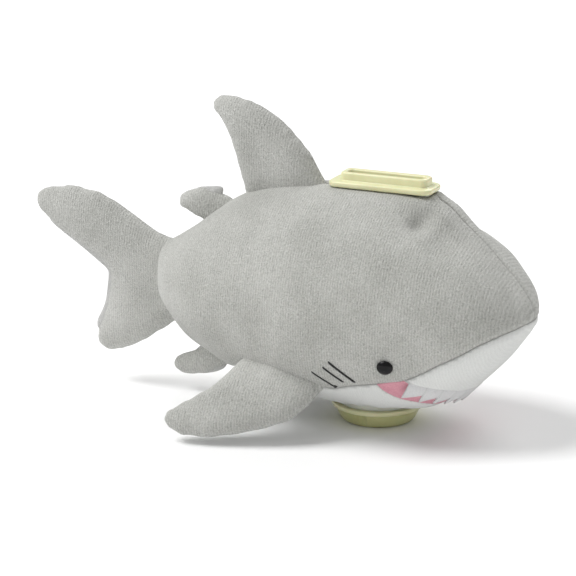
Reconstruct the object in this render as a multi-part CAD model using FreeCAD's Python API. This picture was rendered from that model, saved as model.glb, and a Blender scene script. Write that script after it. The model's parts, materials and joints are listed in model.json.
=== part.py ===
import FreeCAD, Part
import math
import os

# Plush shark coin bank: a soft stuffed shark sewn round a hard coin box. Coins drop through
# a slot plate on its back and come out under the belly, where a screw cap closes the box.
# Millimetres. +X towards the nose, +Y to the shark's left, +Z up. The origin is the centre
# of the cap's flat underside, which is what the bank stands on.

Vector = FreeCAD.Vector
UP = Vector(0, 0, 1)
ACROSS = Vector(0, 1, 0)
SIDES = {"left": 1, "right": -1}

# --- Fabric and stuffing -----------------------------------------------------------------
COVER = 2.0                # thickness of the body's pile fabric with its backing
FIN_COVER = 1.3            # thickness of a fin panel
LOOSE = 0.2                # stuffing's clearance inside its cover
ROLL_DEPTHS = (0.95, 0.75, 0.4)    # where a fin's rounded root is sectioned, in root radii
FIN_SECTION_POINTS = 10     # steps along one side of a fin's oval section

# --- Body outline: x, top, bottom, widest height, half width, upper and lower roundness ---
BODY = [
    (-121, 78, 51, 64, 6, 2.0, 2.0),
    (-114, 82, 45, 63, 20, 2.0, 2.0),
    (-104, 88, 38, 62, 31, 2.0, 2.0),
    (-96, 94, 32, 61, 37, 2.0, 2.0),
    (-80, 106, 24, 59, 45, 2.0, 2.0),
    (-60, 115, 16, 57, 50, 2.1, 2.1),
    (-30, 119, 11, 56, 54, 2.1, 2.2),
    (0, 118, 10, 56, 54, 2.2, 2.2),
    (22, 112, 11, 56, 52, 2.4, 2.2),
    (40, 102, 16, 56, 49, 2.5, 2.2),
    (56, 93, 26, 57, 43, 2.5, 2.1),
    (68, 83.5, 38, 58, 35, 2.5, 2.0),
    (74.5, 76, 47, 60, 27, 2.3, 2.0),
    (78.5, 70, 53, 61, 17, 2.2, 2.0),
    (80.5, 64, 59, 61.5, 7, 2.0, 2.0),
]
SECTION_POINTS = 28

# --- Seams of the white panels, seen from the side (x, z) ---------------------------------
BELLY_SEAM = [(92, 63), (83, 61), (74, 59.5), (66, 56), (58, 51), (49, 46.3), (40, 40.7), (31, 36),
              (18, 33.4), (4, 30), (-7, 26.2), (-14, 27.1), (-28, 31.3), (-43, 34), (-56, 31),
              (-69, 25), (-84, 14)]
UPPER_LIP = [(30, 40), (32, 35.6), (36.6, 33.5), (42, 31.6), (47, 29.7), (50.8, 27.6), (53.4, 24.8), (57, 19)]
LOWER_LIP = [(16, 37), (18, 33.4), (21, 29.3), (25, 26.3), (29, 24.3), (33, 22.6), (38, 19.8), (43, 11)]

# --- Felt teeth, hung from the upper lip --------------------------------------------------
TOOTH_ROOTS = [(33.5, 45.2, 34.6), (40.7, 40.7, 31.8), (46.9, 34.2, 29.5), (50.6, 25.8, 27.5),
               (52.6, 16.8, 25.8), (53.6, 7.6, 24.9), (53.9, 0, 24.6)]
TOOTH_BAND = 3.5           # felt left uncut above the sawtooth
TOOTH_DEPTH = 7.2
FELT = 1.2
TOOTH_PROUD = 0.4          # how far the felt's back stands off the chord between two roots
TOOTH_OVERLAP = 0.4        # each tooth runs this far into the next
TOOTH_LEAN = 0.5           # how far the front teeth slope back under the snout, per unit of drop

# --- Coin box, in two moulded halves ------------------------------------------------------
BOX_X = (-32.0, 28.0)
BOX_HALF_WIDTH = 24.0
BOX_CORNER = 14.0
BOX_WALL = 1.8
BOX_FLOOR = 20.0
BOX_JOINT = 58.0
BOX_TOP = 96.0
LAP = 3.0                  # height of the lap joint between the halves
LAP_GAP = 0.1

# --- Coin slot ----------------------------------------------------------------------------
SLOT_X = 4.0
SLOT = (40.0, 5.0)
CHUTE_OUTER = (46.0, 11.0)
CHUTE_INNER = (42.0, 7.0)
PLATE = (52.0, 20.0)
PLATE_CORNER = 5.0
PLATE_Z = (119.8, 122.6)
PLATE_BEVEL = 0.9
RIM = (46.0, 12.0)
RIM_TOP = 126.8
RIM_BEVEL = 1.0
CHUTE_SEAT = 1.2           # depth of the plate's underside socket round the chute

# --- Neck, flange and screw cap -----------------------------------------------------------
NECK_R = (18.6, 20.4)
NECK_Z = 9.0
SHOULDER_R = 22.5
SHOULDER_Z = (13.2, 14.6)
FLANGE_R = (20.45, 23.5)
FLANGE_Z = (7.6, 9.8)
CAP_BASE_R = 17.4
CAP_RIM_R = 21.5
CAP_TOP = 7.2
CAP_WALL = 1.8
BOSS_R = (15.3, 16.9)
BOSS_TOP = 15.0
NOTCH = (3.0, 1.0)         # width and depth of the two grip notches
THREAD_LEAD = 12.0         # three starts, 4 mm apart
THREAD_STARTS = 3
THREAD_HEIGHT = 1.2
RIDGE_TURN = 90.0          # degrees covered by a ridge in the neck
LUG_TURN = 40.0            # degrees covered by a lug on the cap
RIDGE_Z = 10.0
RIDGE_R = 17.7
LUG_R = 18.2
SEAL_R = (17.3, 19.6)
SEAL_Z = (7.6, 8.5)

# --- Eyes and gills (points on the right side's skin: x, z) -------------------------------
EYE = (23.1, 44.8)
EYE_R = 4.0
EYE_DOME = 3.1
EYE_POST_R = 1.4
EYE_POST = 7.0
WASHER_R = 6.0
WASHER = (2.6, 3.8)        # depths of the washer's faces under the skin
GILLS = [((-5.8, 44.4), (7.7, 33.1)), ((-9.0, 40.9), (1.3, 32.4)), ((-15.4, 37.5), (-3.9, 28.6))]
THREAD_R = 0.5
KNOT_R = 1.2

# --- Fins on the centre plane: (leading x, z), (trailing x, z), thickness, root to tip -----
DORSAL = [((-32, 127), (-76, 119.6), 12.4), ((-36.5, 134), (-78.5, 129), 13.5),
          ((-47, 144.4), (-84, 140.3), 13), ((-60, 154), (-87.5, 147.8), 11),
          ((-72, 158.8), (-90.4, 151.2), 9), ((-83.8, 160.2), (-91.5, 154), 6)]
REAR_DORSAL = [((-84, 112.3), (-103.6, 98.6), 10), ((-89, 113), (-107, 99.4), 10),
               ((-97, 112), (-110.6, 101), 8.5), ((-104, 109.4), (-111.6, 103), 5.5)]
ANAL = [((-82, 16.2), (-101.5, 26), 10), ((-86.5, 11.6), (-106, 21.8), 10),
        ((-96, 8.2), (-112.5, 18), 8.5), ((-105, 7.6), (-116.4, 13), 5.5)]
TAIL = [((-183.6, 103.8), (-194.6, 92), 7), ((-172, 104.8), (-187, 82.4), 10),
        ((-157.5, 102.7), (-172, 73), 12), ((-142, 95), (-158.6, 64), 13),
        ((-129.5, 86), (-154, 60.5), 13.5), ((-122.5, 66), (-152.8, 57), 13.5),
        ((-122.5, 45), (-153.6, 50), 13.5), ((-128.5, 29), (-155.5, 39.4), 12.5),
        ((-139, 19.4), (-159.3, 31), 11), ((-150, 15.2), (-161.3, 23.6), 8)]

# --- Pectoral fin, in its own plane: u along the sewn root, v out from it ------------------
PECTORAL_FRONT = (-7.0, -43.0, 25.7)
PECTORAL_REAR = (-46.0, -47.0, 33.5)
PECTORAL_TIP = (-80.0, -75.0, 9.3)
PECTORAL = [((6, 7.6), (53, 7.6), 11), ((9.5, 13), (57, 13), 11.5), ((14, 21), (64, 21.6), 12),
            ((29, 31.6), (69.4, 28), 11), ((46, 40.2), (73, 32.6), 9.5), ((62, 43.6), (75, 37.4), 6)]


def closed_spline(points):
    """Return a closed smooth wire through the points."""
    curve = Part.BSplineCurve()
    curve.interpolate(Points=points, PeriodicFlag=True)
    return Part.Wire([curve.toShape()])


def closed_profile(curve_points, corner_points):
    """Return a flat XZ face: a smooth curve, closed by straight edges through the corners."""
    curve = Part.BSplineCurve()
    curve.interpolate(Points=[Vector(x, 0, z) for x, z in curve_points])
    chain = [curve_points[-1]] + corner_points + [curve_points[0]]
    edges = [curve.toShape()]
    for start, end in zip(chain, chain[1:]):
        edges.append(Part.makeLine(Vector(start[0], 0, start[1]), Vector(end[0], 0, end[1])))
    return Part.Face(Part.Wire(edges))


def side_region(curve_points, corner_points):
    """Return the block that a side-view profile sweeps right through the body."""
    face = closed_profile(curve_points, corner_points)
    face.translate(Vector(0, -100, 0))
    return face.extrude(Vector(0, 200, 0))


def slab(x_range, y_range, z_range):
    """Return a block from three (low, high) ranges."""
    size = [high - low for low, high in (x_range, y_range, z_range)]
    return Part.makeBox(*size, Vector(x_range[0], y_range[0], z_range[0]))


def tube(radii, z_range):
    """Return an upright ring from (inner, outer) radii."""
    height = z_range[1] - z_range[0]
    base = Vector(0, 0, z_range[0])
    return Part.makeCylinder(radii[1], height, base).cut(Part.makeCylinder(radii[0], height, base))


def rounded_block(centre, half_size, corner, z_range):
    """Return an upright block with rounded vertical edges."""
    x, y = centre
    block = slab((x - half_size[0], x + half_size[0]), (y - half_size[1], y + half_size[1]), z_range)
    upright = [edge for edge in block.Edges if abs(edge.tangentAt(edge.FirstParameter).z) > 0.9]
    return block.makeFillet(corner, upright)


def mirrored(shape):
    """Return the shape's mirror image across the centre plane."""
    return shape.mirror(Vector(0, 0, 0), Vector(0, 1, 0))


# --- Body -------------------------------------------------------------------------------
def body_section(station, inset, scale, centre_x):
    """Return one closed cross-section of the body, drawn in by the inset."""
    x, top, bottom, widest, half_width, upper_power, lower_power = station
    points = []
    for index in range(SECTION_POINTS):
        angle = 2 * math.pi * index / SECTION_POINTS
        across = math.cos(angle)
        rise = math.sin(angle)
        power = upper_power if rise > 0 else lower_power
        height = top - inset - widest if rise > 0 else widest - bottom - inset
        y = (half_width - inset) * math.copysign(abs(across) ** (2 / power), across)
        z = widest + height * math.copysign(abs(rise) ** (2 / power), rise)
        points.append(Vector(centre_x + (x - centre_x) * scale, y, z))
    return closed_spline(points)


def body_solid(inset):
    """Return the whole body, drawn in on every side by the inset."""
    centre_x = (BODY[0][0] + BODY[-1][0]) / 2
    half_length = (BODY[-1][0] - BODY[0][0]) / 2
    scale = (half_length - inset) / half_length
    sections = [body_section(station, inset, scale, centre_x) for station in BODY]
    return Part.makeLoft(sections, True, False)


def skin_point(body, x, z):
    """Return the point on the right side's skin at x, z."""
    line = Part.makeLine(Vector(x, 0, z), Vector(x, -100, z))
    return Vector(x, line.common(body).BoundBox.YMin, z)


def skin_normal(body, point):
    """Return the outward normal of the skin at a point on it."""
    distance, _, info = body.distToShape(Part.Vertex(point))
    for hit in info:
        if hit[0] == "Face":
            return body.Faces[hit[1]].normalAt(*hit[2])
    face = min(body.Faces, key=lambda item: item.distToShape(Part.Vertex(point))[0])
    return face.normalAt(*face.Surface.parameter(point))


def covers(body, inner, fittings):
    """Return the sewn skin's panels, with the fittings' holes cut out."""
    skin = body.cut(inner)
    for fitting in fittings:
        skin = skin.cut(fitting)
    white = side_region(BELLY_SEAM, [(-84, -30), (110, -30), (110, 63)])
    head = side_region(UPPER_LIP, [(59, -30), (120, -30), (120, 90), (30, 90)])
    jaw = side_region(LOWER_LIP, [(43, -30), (120, -30), (120, 90), (16, 90)])
    upper = skin.cut(white)
    under = skin.common(white)
    right = upper.common(slab((-150, 110), (-100, 0), (-10, 140)))
    return {
        "body_cover_left": mirrored(right),
        "body_cover_right": right,
        "snout_cover": under.common(head),
        "mouth_lining": under.common(jaw).cut(head),
        "belly_cover": under.cut(jaw),
    }


def stuffing(body_core, fittings):
    """Return the loose fill's separate wads, packed round the coin box."""
    clear = 0.5
    front = BOX_X[1] + clear
    rear = BOX_X[0] - clear
    side = BOX_HALF_WIDTH + clear
    wads = {
        "head_stuffing": slab((front, 110), (-100, 100), (0, 140)),
        "rear_stuffing": slab((-150, rear), (-100, 100), (0, 140)),
        "flank_stuffing_right": slab((rear + clear, front - clear), (-100, -side), (0, 140)),
        "crown_stuffing": slab((rear + clear, front - clear), (clear - side, side - clear),
                               (BOX_TOP + clear, 140)),
    }
    for name, wad in wads.items():
        wads[name] = wad.common(body_core)
        for fitting in fittings:
            wads[name] = wads[name].cut(fitting)
    wads["flank_stuffing_left"] = mirrored(wads["flank_stuffing_right"])
    return wads


# --- Teeth ------------------------------------------------------------------------------
def teeth():
    """Return the sawtooth felt strip that hangs from the upper lip, right side then left."""
    roots = [Vector(x, -y, z) for x, y, z in TOOTH_ROOTS]
    strip = None
    for rear, front in zip(roots, roots[1:]):
        along = (front - rear).normalize() * TOOTH_OVERLAP
        ahead = (front - rear).cross(UP).normalize()
        rise = (UP + ahead * (TOOTH_LEAN * ahead.x ** 2)).normalize()
        outward = (front - rear).cross(rise).normalize()
        rear, front = rear - along, front + along
        outline = [rear, front, front - rise * TOOTH_BAND, rear - rise * TOOTH_DEPTH]
        tooth = Part.Face(Part.makePolygon(outline + outline[:1])).extrude(outward * FELT)
        tooth.translate(outward * TOOTH_PROUD)
        strip = tooth if strip is None else strip.fuse(tooth)
    return strip.fuse(mirrored(strip)).removeSplitter()


# --- Coin box and slot --------------------------------------------------------------------
def box_block(inset, z_range):
    """Return a rounded block the plan of the coin box, drawn in by the inset."""
    centre = ((BOX_X[0] + BOX_X[1]) / 2, 0)
    half_size = ((BOX_X[1] - BOX_X[0]) / 2 - inset, BOX_HALF_WIDTH - inset)
    return rounded_block(centre, half_size, BOX_CORNER - inset, z_range)


def slot_block(size, corner, z_range):
    """Return a rounded block centred on the coin slot."""
    return rounded_block((SLOT_X, 0), (size[0] / 2, size[1] / 2), corner, z_range)


def thread_segment(z_start, angle_start, turn, inner, outer):
    """Return a short helical rib between two radii."""
    rise = THREAD_LEAD * turn / 360
    helix = Part.makeHelix(THREAD_LEAD, rise, inner)
    half = THREAD_HEIGHT / 2
    profile = Part.makePolygon([
        Vector(inner, 0, -half), Vector(outer, 0, -half * 0.6), Vector(outer, 0, half * 0.6),
        Vector(inner, 0, half), Vector(inner, 0, -half)])
    rib = Part.Wire(helix.Edges).makePipeShell([profile], True, True)
    rib.rotate(Vector(0, 0, 0), UP, angle_start)
    rib.translate(Vector(0, 0, z_start))
    return rib


def box_lower():
    """Return the lower half: box, round neck, clamping shoulder and thread ridges."""
    hull = box_block(0, (BOX_FLOOR, BOX_JOINT)).cut(box_block(BOX_WALL, (BOX_FLOOR + BOX_WALL, BOX_JOINT)))
    tongue = box_block(BOX_WALL / 2 + LAP_GAP, (BOX_JOINT - BOX_WALL, BOX_JOINT + LAP))
    tongue = tongue.cut(box_block(BOX_WALL, (BOX_JOINT - BOX_WALL, BOX_JOINT + LAP)))
    shape = hull.fuse(tongue)
    shape = shape.fuse(Part.makeCylinder(NECK_R[1], BOX_FLOOR + BOX_WALL - NECK_Z, Vector(0, 0, NECK_Z)))
    shape = shape.fuse(tube((NECK_R[0], SHOULDER_R), SHOULDER_Z))
    bore_height = BOX_FLOOR + 2 * BOX_WALL - NECK_Z
    shape = shape.cut(Part.makeCylinder(NECK_R[0], bore_height, Vector(0, 0, NECK_Z - 1)))
    for start in range(THREAD_STARTS):
        angle = 360 * start / THREAD_STARTS
        shape = shape.fuse(thread_segment(RIDGE_Z, angle, RIDGE_TURN, NECK_R[0] + 0.3, RIDGE_R))
    return shape


def box_upper():
    """Return the upper half: walls, roof and the coin chute."""
    shape = box_block(0, (BOX_JOINT, BOX_TOP)).cut(box_block(BOX_WALL, (BOX_JOINT, BOX_TOP - BOX_WALL)))
    shape = shape.cut(box_block(BOX_WALL / 2, (BOX_JOINT, BOX_JOINT + LAP + LAP_GAP)))
    shape = shape.fuse(slot_block(CHUTE_OUTER, 2.5, (BOX_TOP - BOX_WALL, PLATE_Z[0] + CHUTE_SEAT)))
    return shape.cut(slot_block(CHUTE_INNER, 1.5, (BOX_TOP - 2 * BOX_WALL, PLATE_Z[1])))


def slot_plate():
    """Return the slot plate with its raised rim."""
    plate = slot_block(PLATE, PLATE_CORNER, PLATE_Z)
    top_edges = [edge for edge in plate.Edges if edge.BoundBox.ZMin > PLATE_Z[1] - 0.1]
    plate = plate.makeChamfer(PLATE_BEVEL, top_edges)
    rim = slot_block(RIM, PLATE_CORNER, (PLATE_Z[0] + 1, RIM_TOP))
    top_edges = [edge for edge in rim.Edges if edge.BoundBox.ZMin > RIM_TOP - 0.1]
    rim = rim.makeChamfer(RIM_BEVEL, top_edges)
    shape = plate.fuse(rim)
    shape = shape.cut(slot_block(SLOT, 2.4, (PLATE_Z[0] - 1, RIM_TOP + 1)))
    return shape.cut(slot_block(CHUTE_OUTER, 2.5, (PLATE_Z[0] - 1, PLATE_Z[0] + CHUTE_SEAT)))


# --- Screw cap ----------------------------------------------------------------------------
def bottom_cap():
    """Return the dished screw cap with its boss, lugs and grip notches."""
    outline = [(0, 0), (CAP_BASE_R, 0), (CAP_BASE_R + 1.6, 0.9), (CAP_RIM_R, CAP_TOP - 1),
               (CAP_RIM_R, CAP_TOP), (BOSS_R[1], CAP_TOP), (BOSS_R[1], BOSS_TOP), (BOSS_R[0], BOSS_TOP),
               (BOSS_R[0], CAP_WALL), (0, CAP_WALL), (0, 0)]
    face = Part.Face(Part.makePolygon([Vector(r, 0, z) for r, z in outline]))
    shape = face.revolve(Vector(0, 0, 0), UP, 360)
    for side in SIDES.values():
        middle = side * (CAP_RIM_R - NOTCH[1] + 5)
        notch = slab((-NOTCH[0] / 2, NOTCH[0] / 2), (middle - 5, middle + 5), (1.6, CAP_TOP + 1))
        shape = shape.cut(notch)
    lug_angle = (RIDGE_TURN - LUG_TURN) / 2
    lug_z = RIDGE_Z + THREAD_LEAD / THREAD_STARTS / 2 + THREAD_LEAD * lug_angle / 360
    for start in range(THREAD_STARTS):
        angle = 360 * start / THREAD_STARTS + lug_angle
        shape = shape.fuse(thread_segment(lug_z, angle, LUG_TURN, BOSS_R[1] - 0.3, LUG_R))
    return shape


# --- Eyes and gills -----------------------------------------------------------------------
def eye_parts(body):
    """Return the right eye, its washer and the room they need, on the skin's normal."""
    point = skin_point(body, *EYE)
    normal = skin_normal(body, point)
    sphere_r = (EYE_R ** 2 + EYE_DOME ** 2) / (2 * EYE_DOME)
    dome = Part.makeSphere(sphere_r, point + normal * (EYE_DOME - sphere_r + 0.3))
    dome = dome.common(Part.makeCylinder(EYE_R, 10, point + normal * 0.3, normal))
    post = Part.makeCylinder(EYE_POST_R, EYE_POST + 0.4, point - normal * EYE_POST, normal)
    eye = dome.fuse(post)
    washer_base = point - normal * WASHER[1]
    thickness = WASHER[1] - WASHER[0]
    washer = Part.makeCylinder(WASHER_R, thickness, washer_base, normal)
    washer = washer.cut(Part.makeCylinder(EYE_POST_R + 0.05, thickness, washer_base, normal))
    room = Part.makeCylinder(EYE_POST_R + 0.2, 12, point - normal * (EYE_POST + 0.3), normal)
    room = room.fuse(Part.makeCylinder(WASHER_R + 0.2, thickness + 0.4, washer_base - normal * 0.2, normal))
    return eye, washer, room


def gill_stitches(body):
    """Return the right side's three long stitches and the knot of the last."""
    shapes = []
    for (x0, z0), (x1, z1) in GILLS:
        points = []
        for step in range(5):
            x = x0 + (x1 - x0) * step / 4
            z = z0 + (z1 - z0) * step / 4
            point = skin_point(body, x, z)
            points.append(point + skin_normal(body, point) * (THREAD_R + 0.05))
        for start, end in zip(points, points[1:]):
            run = end - start
            shapes.append(Part.makeCylinder(THREAD_R, run.Length, start, run))
        shapes.extend(Part.makeSphere(THREAD_R, point) for point in points)
    shapes.append(Part.makeSphere(KNOT_R, points[-1] + skin_normal(body, points[-1]) * (KNOT_R - THREAD_R)))
    return shapes[0].fuse(shapes[1:]).cut(body)


# --- Fins ---------------------------------------------------------------------------------
def fin_section(lead, trail, half_thickness, sides):
    """Return one oval section of a fin, or the half of it on one side, closed by its chord."""
    centre = (lead + trail) / 2
    half_chord = (trail - lead) / 2
    edges = []
    for side in sides:
        points = []
        for index in range(FIN_SECTION_POINTS + 1):
            angle = math.pi * index / FIN_SECTION_POINTS
            bulge = half_thickness * math.sin(angle) * side
            points.append(centre + half_chord * math.cos(angle) + ACROSS * bulge)
        curve = Part.BSplineCurve()
        curve.interpolate(Points=points)
        edges.append(curve.toShape())
    if len(sides) == 1:
        edges.append(Part.makeLine(lead, trail))
    return Part.Wire(edges)


def fin_solid(rows, rolled_root, sides):
    """Return a fin standing in the XZ plane. A rolled root is round about its own chord."""
    sections = [(Vector(a[0], 0, a[1]), Vector(b[0], 0, b[1]), thickness / 2) for a, b, thickness in rows]
    lead, trail, half_thickness = sections[0]
    outward = (trail - lead).cross(ACROSS).normalize()
    if outward.dot(sections[1][0] - lead) < 0:
        outward = -outward
    stations = []
    for depth in ROLL_DEPTHS if rolled_root else ():
        shrink = math.sqrt(1 - depth ** 2)
        centre = (lead + trail) / 2 - outward * (depth * half_thickness)
        half_chord = (trail - lead) * (shrink / 2)
        stations.append((centre - half_chord, centre + half_chord, half_thickness * shrink))
    return Part.makeLoft([fin_section(*section, sides) for section in stations + sections], True, False)


def drawn_in(solid, inset):
    """Return the fin solid shrunk towards its middle plane, so each side comes in by the inset."""
    box = solid.BoundBox
    middle = Vector(box.Center.x, 0, box.Center.z)
    half_thickness = max(-box.YMin, box.YMax)
    shrink = FreeCAD.Matrix()
    shrink.move(-middle)
    shrink.scale(1 - 2 * inset / box.XLength, 1 - inset / half_thickness, 1 - 2 * inset / box.ZLength)
    shrink.move(middle)
    return solid.transformGeometry(shrink)


def fin_pieces(name, rows, labels, rolled_root=True, placement=FreeCAD.Placement()):
    """Return a fin's two sewn panels and its stuffing."""
    pieces = {name + "_stuffing": drawn_in(fin_solid(rows, rolled_root, (1, -1)), FIN_COVER + LOOSE)}
    for label, side in zip(labels, (1, -1)):
        half = fin_solid(rows, rolled_root, (side,))
        pieces[name + "_panel_" + label] = half.cut(drawn_in(half, FIN_COVER))
    for shape in pieces.values():
        shape.Placement = placement.multiply(shape.Placement)
    return pieces


def pectoral_placement():
    """Return where the right pectoral's own plane lies: X along its root, Z out from it."""
    origin = Vector(*PECTORAL_FRONT)
    along = (Vector(*PECTORAL_REAR) - origin).normalize()
    across = (Vector(*PECTORAL_TIP) - origin).cross(along).normalize()
    return FreeCAD.Placement(origin, FreeCAD.Rotation(along, across, along.cross(across), "XYZ"))


def pectoral_pieces():
    """Return both pectoral fins' pieces. The left is the right one's mirror image."""
    right = fin_pieces("pectoral_right", PECTORAL, ("lower", "upper"), placement=pectoral_placement())
    left = {name.replace("right", "left"): mirrored(shape) for name, shape in right.items()}
    return {**right, **left}


def build():
    """Return every piece of the bank by name."""
    body = body_solid(0)
    eye, washer, eye_room = eye_parts(body)
    chute_room = slot_block((CHUTE_OUTER[0] + 0.6, CHUTE_OUTER[1] + 0.6), 2.5, (BOX_TOP - 5, RIM_TOP))
    neck_room = Part.makeCylinder(NECK_R[1] + 0.2, 20, Vector(0, 0, 0))
    shoulder_room = Part.makeCylinder(SHOULDER_R + 0.3, 6, Vector(0, 0, SHOULDER_Z[0] - 0.1))
    fittings = [chute_room, neck_room, shoulder_room, eye_room, mirrored(eye_room)]
    pieces = covers(body, body_solid(COVER), fittings)
    pieces.update(stuffing(body_solid(COVER + LOOSE), fittings))
    pieces["upper_teeth"] = teeth()
    pieces["coin_box_lower"] = box_lower()
    pieces["coin_box_upper"] = box_upper()
    pieces["slot_plate"] = slot_plate()
    pieces["base_flange"] = tube(FLANGE_R, FLANGE_Z)
    gills = gill_stitches(body)
    for side, sign in SIDES.items():
        for name, shape in (("eye", eye), ("eye_washer", washer), ("gill_stitches", gills)):
            pieces[name + "_" + side] = shape if sign < 0 else mirrored(shape)
    pieces["cap_seal"] = tube(SEAL_R, SEAL_Z)
    pieces["bottom_cap"] = bottom_cap()
    for name, rows in (("dorsal", DORSAL), ("rear_dorsal", REAR_DORSAL), ("anal", ANAL)):
        pieces.update(fin_pieces(name, rows, ("left", "right")))
    pieces.update(fin_pieces("tail", TAIL, ("left", "right"), rolled_root=False))
    pieces.update(pectoral_pieces())
    return pieces


os.makedirs("parts", exist_ok=True)
for node, shape in build().items():
    shape.exportStep("parts/" + node + ".step")
    print(f"{node:28s} solids {len(shape.Solids)} volume {shape.Volume:10.1f} valid {shape.isValid()}")
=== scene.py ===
import json
import math

import bmesh
import bpy
import numpy as np
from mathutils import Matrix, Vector, geometry, noise
from mathutils.bvhtree import BVHTree
from mathutils.kdtree import KDTree


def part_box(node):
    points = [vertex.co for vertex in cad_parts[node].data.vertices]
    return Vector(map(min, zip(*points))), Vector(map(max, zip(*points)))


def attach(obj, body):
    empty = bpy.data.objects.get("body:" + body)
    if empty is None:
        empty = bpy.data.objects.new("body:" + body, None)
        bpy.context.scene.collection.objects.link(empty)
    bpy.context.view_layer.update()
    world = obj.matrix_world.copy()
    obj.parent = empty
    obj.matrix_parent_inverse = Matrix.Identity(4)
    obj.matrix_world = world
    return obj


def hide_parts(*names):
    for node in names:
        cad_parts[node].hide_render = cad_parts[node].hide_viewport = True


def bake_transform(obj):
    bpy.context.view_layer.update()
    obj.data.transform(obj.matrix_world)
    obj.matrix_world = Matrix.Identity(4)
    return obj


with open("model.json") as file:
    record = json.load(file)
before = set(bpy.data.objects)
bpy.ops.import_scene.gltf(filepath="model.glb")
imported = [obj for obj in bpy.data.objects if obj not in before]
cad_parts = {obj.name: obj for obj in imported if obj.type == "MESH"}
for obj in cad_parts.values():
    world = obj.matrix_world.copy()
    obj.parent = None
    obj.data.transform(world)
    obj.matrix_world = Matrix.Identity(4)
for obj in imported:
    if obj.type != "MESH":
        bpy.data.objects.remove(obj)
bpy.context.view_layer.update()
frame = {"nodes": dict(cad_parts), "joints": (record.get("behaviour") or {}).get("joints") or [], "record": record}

# Lengths in this script are millimetres until a mesh is made, in the CAD model's frame:
# +X towards the nose, +Y to the shark's left, +Z up.
MM = 0.001

# --- Camera and light ---------------------------------------------------------------------
VIEW_AZIMUTH = 24.0
VIEW_ELEVATION = 16.0
VIEW_TARGET = (-50.0, 0.0, 62.0)
VIEW_DISTANCE = 1200.0
LENS = 147.2

# --- Seams of the white panels, seen from the side (x, z) ---------------------------------
BELLY_SEAM = [(-130, -60), (-84, 14), (-69, 25), (-56, 31), (-43, 34), (-28, 31.3), (-14, 27.1), (-7, 26.2),
              (4, 30), (18, 33.4), (31, 36), (40, 40.7), (49, 46.3), (58, 51), (66, 56), (74, 59.5),
              (83, 61), (92, 63)]
UPPER_LIP = [(29.8, 90), (30, 40), (32, 35.6), (36.6, 33.5), (42, 31.6), (47, 29.7), (50.8, 27.6),
             (53.4, 24.8), (57, 19), (58, -60)]
LOWER_LIP = [(15.8, 90), (16, 37), (18, 33.4), (21, 29.3), (25, 26.3), (29, 24.3), (33, 22.6), (38, 19.8),
             (43, 11), (44, -60)]
# Each stitch: its two ends, seen from the side (x, z), and the thread's radius.
GILLS = [((-5.8, 44.4), (7.7, 33.1), 0.55), ((-9.0, 40.9), (1.3, 32.4), 0.45),
         ((-15.4, 37.5), (-3.9, 28.6), 0.38)]

# --- Body skin ----------------------------------------------------------------------------
AXIS_Z = 62.0              # height of the line that the skin is measured out from
RINGS = 168
SPOKES = 176
SKIN = 1.3                 # modelled thickness of the fabric
COVER_NODES = ("body_cover_left", "body_cover_right", "snout_cover", "mouth_lining", "belly_cover")


# --- Small helpers ------------------------------------------------------------------------
def smooth_line(points, x):
    """Return the height at x of a line through (x, z) points, eased at each point."""
    xs, zs = np.array(points, float).T
    fine_x = np.linspace(xs[0], xs[-1], 900)
    fine_z = np.interp(fine_x, xs, zs)
    kernel = np.hanning(9)
    padded = np.pad(fine_z, 4, mode="edge")
    fine_z = np.convolve(padded, kernel / kernel.sum(), mode="valid")
    return np.interp(x, fine_x, fine_z)


def bump(distance, width):
    """Return a smooth hump of height 1 at distance 0."""
    return np.exp(-(np.asarray(distance) / width) ** 2)


def span_distance(points, start, end):
    """Return each point's distance to the straight line between two points."""
    start, end = np.array(start, float), np.array(end, float)
    run = end - start
    share = np.clip((points - start) @ run / (run @ run), 0, 1)
    return np.linalg.norm(points - start - share[:, None] * run, axis=1)


def wobble(points, size, seed):
    """Return smooth noise in -1..1 at the points, with lumps about size across."""
    offset = Vector((seed * 17.3, seed * 5.1, seed * 9.7))
    return np.array([noise.noise(Vector(p) / size + offset) for p in points]) * 1.6


def mesh_object(name, points, faces, smooth=True):
    """Return a new object from points in millimetres."""
    mesh = bpy.data.meshes.new(name)
    mesh.from_pydata([tuple(p) for p in np.asarray(points) * MM], [], faces)
    mesh.validate()
    mesh.polygons.foreach_set("use_smooth", [smooth] * len(mesh.polygons))
    obj = bpy.data.objects.new(name, mesh)
    bpy.context.scene.collection.objects.link(obj)
    return obj


def points_of(obj):
    """Return an object's vertices in millimetres."""
    flat = np.zeros(len(obj.data.vertices) * 3)
    obj.data.vertices.foreach_get("co", flat)
    return flat.reshape(-1, 3) / MM


def set_points(obj, points):
    """Move an object's vertices, given in millimetres."""
    obj.data.vertices.foreach_set("co", (np.asarray(points) * MM).ravel())
    obj.data.update()


def normals_of(obj):
    """Return an object's vertex normals."""
    return np.array([tuple(v.normal) for v in obj.data.vertices])


def apply_modifiers(obj):
    """Replace an object's mesh by what its modifiers make of it."""
    graph = bpy.context.evaluated_depsgraph_get()
    graph.update()
    made = bpy.data.meshes.new_from_object(obj.evaluated_get(graph))
    obj.modifiers.clear()
    obj.data = made
    obj.data.polygons.foreach_set("use_smooth", [True] * len(made.polygons))
    return obj


def thicken(obj, thickness, offset=-1.0):
    """Give an open skin its thickness."""
    solidify = obj.modifiers.new("thickness", "SOLIDIFY")
    solidify.thickness = thickness * MM
    solidify.offset = offset
    solidify.use_even_offset = False
    return apply_modifiers(obj)


def subdivide(obj, levels=1):
    """Smooth an object by subdivision."""
    modifier = obj.modifiers.new("smooth", "SUBSURF")
    modifier.levels = levels
    return apply_modifiers(obj)


def attribute(obj, name, values):
    """Store one number per vertex for a material to read."""
    layer = obj.data.attributes.new(name, "FLOAT", "POINT")
    layer.data.foreach_set("value", np.asarray(values, np.float32))


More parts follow.
